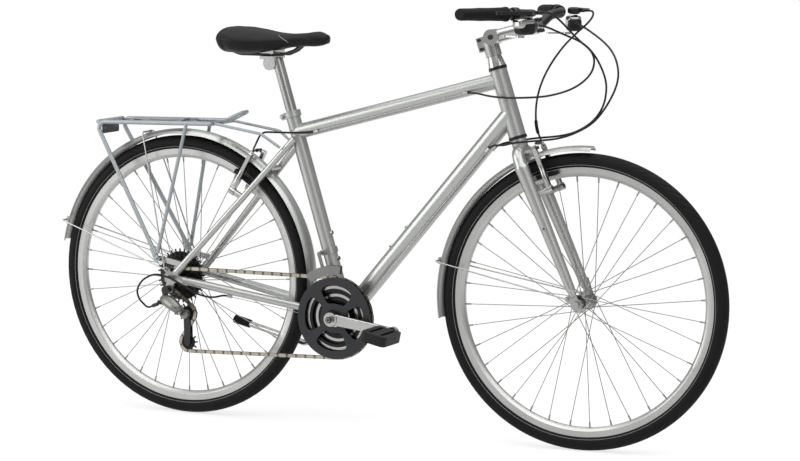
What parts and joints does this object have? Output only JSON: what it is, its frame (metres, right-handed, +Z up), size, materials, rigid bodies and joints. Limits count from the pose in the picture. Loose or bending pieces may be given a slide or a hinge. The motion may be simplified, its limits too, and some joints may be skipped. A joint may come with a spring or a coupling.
{
  "type": "hybrid bicycle",
  "caption": "City hybrid bicycle with diamond frame, mudguards, rear rack, folding kickstand, rim brakes, derailleur gears and turning wheels, crank and steering.",
  "frame": {"origin": "on the ground under the middle of the wheelbase", "axes": "+X forward, +Y to the rider's left, +Z up"},
  "size_m": [1.7709, 0.6044, 1.0382],
  "materials": {
    "frame_paint": "satin metallic silver",
    "polished_alloy": "polished",
    "rim_alloy": "machined",
    "rack_alloy": "satin anodised",
    "bright_steel": "bright",
    "dark_steel": "dark",
    "chain_steel": "oiled",
    "black_alloy": "satin black",
    "black_plastic": "matte black",
    "grip_rubber": "matte black",
    "tyre_rubber": "matte black",
    "saddle_vinyl": "soft black vinyl",
    "cable_black": "satin black"
  },
  "bodies": {
    "frame": {"main_frame": "frame_paint", "rear_triangle": "frame_paint", "bearing_cups": "black_alloy", "seat_clamp": "frame_paint", "frame_fittings": "polished_alloy", "rear_axle": "bright_steel", "rear_mudguard": "frame_paint", "rear_mudguard_stays": "bright_steel", "luggage_rack": "rack_alloy", "rack_light_plate": "dark_steel", "kickstand_bracket": "black_alloy", "rear_derailleur_knuckle": "dark_steel", "front_derailleur_clamp": "bright_steel", "frame_cables": "cable_black", "chain": "chain_steel"},
    "steering": {"fork": "frame_paint", "stem": "polished_alloy", "handlebar": "black_alloy", "grips": "grip_rubber", "control_brackets": "black_alloy", "front_axle": "bright_steel", "front_mudguard": "frame_paint", "front_mudguard_stays": "bright_steel", "handlebar_cables": "cable_black"},
    "front_wheel": {"front_tyre": "tyre_rubber", "front_rim": "rim_alloy", "front_hub": "polished_alloy", "front_spokes": "bright_steel"},
    "rear_wheel": {"rear_tyre": "tyre_rubber", "rear_rim": "rim_alloy", "rear_hub": "polished_alloy", "rear_spokes": "bright_steel"},
    "freehub": {"cassette": "dark_steel"},
    "crankset": {"crank_axle": "bright_steel", "crank_arm_right": "polished_alloy", "crank_arm_left": "polished_alloy", "chainrings": "bright_steel", "chain_guard": "black_plastic"},
    "right_pedal": {"pedal_right": "black_plastic"},
    "left_pedal": {"pedal_left": "black_plastic"},
    "seat": {"seat_post": "polished_alloy", "saddle_cover": "saddle_vinyl", "saddle_base": "black_plastic", "saddle_rails": "dark_steel"},
    "stand_leg": {"kickstand_leg": "polished_alloy", "kickstand_foot": "grip_rubber"},
    "shift_link": {"rear_derailleur_link": "polished_alloy"},
    "shift_head": {"rear_derailleur_head": "polished_alloy"},
    "shift_cage": {"rear_derailleur_cage": "dark_steel"},
    "guide_wheel": {"guide_pulley": "black_plastic"},
    "tension_wheel": {"tension_pulley": "black_plastic"},
    "front_shift_cage": {"front_derailleur_cage": "bright_steel"},
    "right_brake_lever": {"brake_lever_right": "black_alloy"},
    "left_brake_lever": {"brake_lever_left": "black_alloy"},
    "right_shift_lever": {"shift_lever_right": "bright_steel"},
    "left_shift_lever": {"shift_lever_left": "bright_steel"},
    "front_right_brake": {"front_brake_arm_right": "polished_alloy"},
    "front_left_brake": {"front_brake_arm_left": "polished_alloy"},
    "rear_right_brake": {"rear_brake_arm_right": "polished_alloy"},
    "rear_left_brake": {"rear_brake_arm_left": "polished_alloy"}
  },
  "joints": [
    {"name": "steer", "type": "hinge", "parent": "frame", "child": "steering", "pos_m": [0.49311, 0, 0.33371], "axis": [-0.309, 0, 0.9511], "range_deg": [-50, 40], "deforming": ["handlebar_cables"]},
    {"name": "front_wheel_spin", "type": "hinge", "parent": "steering", "child": "front_wheel", "pos_m": [0.53384, 0.00375, 0.34695], "axis": [-0.0829, 0.9962, -0.0269], "continuous": true},
    {"name": "rear_wheel_spin", "type": "hinge", "parent": "frame", "child": "rear_wheel", "pos_m": [-0.534, 0, 0.347], "axis": [0, 1, 0], "continuous": true},
    {"name": "crank_spin", "type": "hinge", "parent": "frame", "child": "crankset", "pos_m": [-0.08498, 0, 0.276], "axis": [0, 1, 0], "continuous": true, "deforming": ["chain"]},
    {"name": "cassette_spin", "type": "hinge", "parent": "frame", "child": "freehub", "pos_m": [-0.534, 0, 0.347], "axis": [0, 1, 0], "continuous": true, "deforming": ["chain"]},
    {"name": "right_pedal_spin", "type": "hinge", "parent": "crankset", "child": "right_pedal", "pos_m": [0.08393, -0.096, 0.25676], "axis": [0, 1, 0], "continuous": true},
    {"name": "left_pedal_spin", "type": "hinge", "parent": "crankset", "child": "left_pedal", "pos_m": [-0.25389, 0.096, 0.29524], "axis": [0, 1, 0], "continuous": true},
    {"name": "seat_height", "type": "slide", "parent": "frame", "child": "seat", "axis": [-0.2924, 0, 0.9563], "range_m": [-0.04, 0.05]},
    {"name": "stand_fold", "type": "hinge", "parent": "frame", "child": "stand_leg", "pos_m": [-0.14819, 0.022, 0.245], "axis": [0, -0.9895, -0.1444], "range_deg": [0, 80]},
    {"name": "rear_shift", "type": "hinge", "parent": "frame", "child": "shift_link", "pos_m": [-0.55351, -0.07955, 0.29177], "axis": [0.433, 0.5, 0.75], "range_deg": [0, 38], "deforming": ["chain"]},
    {"name": "rear_shift_level", "type": "hinge", "parent": "shift_link", "child": "shift_head", "pos_m": [-0.502, -0.096, 0.273], "axis": [0.433, 0.5, 0.75], "range_deg": [-38, 0], "deforming": ["chain"]},
    {"name": "chain_tension", "type": "hinge", "parent": "shift_head", "child": "shift_cage", "pos_m": [-0.497, -0.06, 0.26], "axis": [0, 1, 0], "range_deg": [-30, 25], "stiffness_Nm_per_rad": 0.5, "deforming": ["chain"]},
    {"name": "guide_pulley_spin", "type": "hinge", "parent": "shift_cage", "child": "guide_wheel", "pos_m": [-0.497, -0.06, 0.26], "axis": [0, 1, 0], "continuous": true, "deforming": ["chain"]},
    {"name": "tension_pulley_spin", "type": "hinge", "parent": "shift_cage", "child": "tension_wheel", "pos_m": [-0.49549, -0.06, 0.18802], "axis": [0, 1, 0], "continuous": true, "deforming": ["chain"]},
    {"name": "front_shift", "type": "slide", "parent": "frame", "child": "front_shift_cage", "axis": [0, 1, 0], "range_m": [0, 0.0135], "deforming": ["chain"]},
    {"name": "right_brake_pull", "type": "hinge", "parent": "steering", "child": "right_brake_lever", "pos_m": [0.47429, -0.15022, 1.02217], "axis": [0.0011, -0.0269, -0.9996], "range_deg": [0, 14], "stiffness_Nm_per_rad": 0.6},
    {"name": "left_brake_pull", "type": "hinge", "parent": "steering", "child": "left_brake_lever", "pos_m": [0.44667, 0.18177, 1.0132], "axis": [-0.0011, 0.0269, 0.9996], "range_deg": [0, 14], "stiffness_Nm_per_rad": 0.6},
    {"name": "right_shift_push", "type": "hinge", "parent": "steering", "child": "right_shift_lever", "pos_m": [0.44041, -0.15366, 0.96821], "axis": [0.0011, -0.0269, -0.9996], "range_deg": [0, 25], "stiffness_Nm_per_rad": 0.2},
    {"name": "left_shift_push", "type": "hinge", "parent": "steering", "child": "left_shift_lever", "pos_m": [0.41292, 0.17667, 0.95928], "axis": [-0.0011, 0.0269, 0.9996], "range_deg": [0, 25], "stiffness_Nm_per_rad": 0.2},
    {"name": "front_right_brake_close", "type": "hinge", "parent": "steering", "child": "front_right_brake", "pos_m": [0.46387, -0.03609, 0.61125], "axis": [-0.9072, -0.0866, -0.4118], "range_deg": [0, 1.5], "stiffness_Nm_per_rad": 0.5},
    {"name": "front_left_brake_close", "type": "hinge", "parent": "steering", "child": "front_left_brake", "pos_m": [0.45707, 0.0456, 0.60904], "axis": [0.9072, 0.0866, 0.4118], "range_deg": [0, 1.5], "stiffness_Nm_per_rad": 0.5},
    {"name": "rear_right_brake_close", "type": "hinge", "parent": "frame", "child": "rear_right_brake", "pos_m": [-0.37774, -0.041, 0.56698], "axis": [-0.8829, 0, 0.4695], "range_deg": [0, 1.5], "stiffness_Nm_per_rad": 0.5},
    {"name": "rear_left_brake_close", "type": "hinge", "parent": "frame", "child": "rear_left_brake", "pos_m": [-0.37774, 0.041, 0.56698], "axis": [0.8829, 0, -0.4695], "range_deg": [0, 1.5], "stiffness_Nm_per_rad": 0.5}
  ],
  "couplings": [
    {"joint": "cassette_spin", "follows": "crank_spin", "ratio": 4},
    {"joint": "guide_pulley_spin", "follows": "crank_spin", "ratio": -4.3636},
    {"joint": "tension_pulley_spin", "follows": "crank_spin", "ratio": 4.3636},
    {"joint": "rear_shift_level", "follows": "rear_shift", "ratio": -1},
    {"joint": "front_right_brake_close", "follows": "left_brake_pull", "ratio": 0.10714},
    {"joint": "rear_right_brake_close", "follows": "right_brake_pull", "ratio": 0.10714},
    {"joint": "front_left_brake_close", "follows": "left_brake_pull", "ratio": 0.10714},
    {"joint": "rear_left_brake_close", "follows": "right_brake_pull", "ratio": 0.10714}
  ]
}
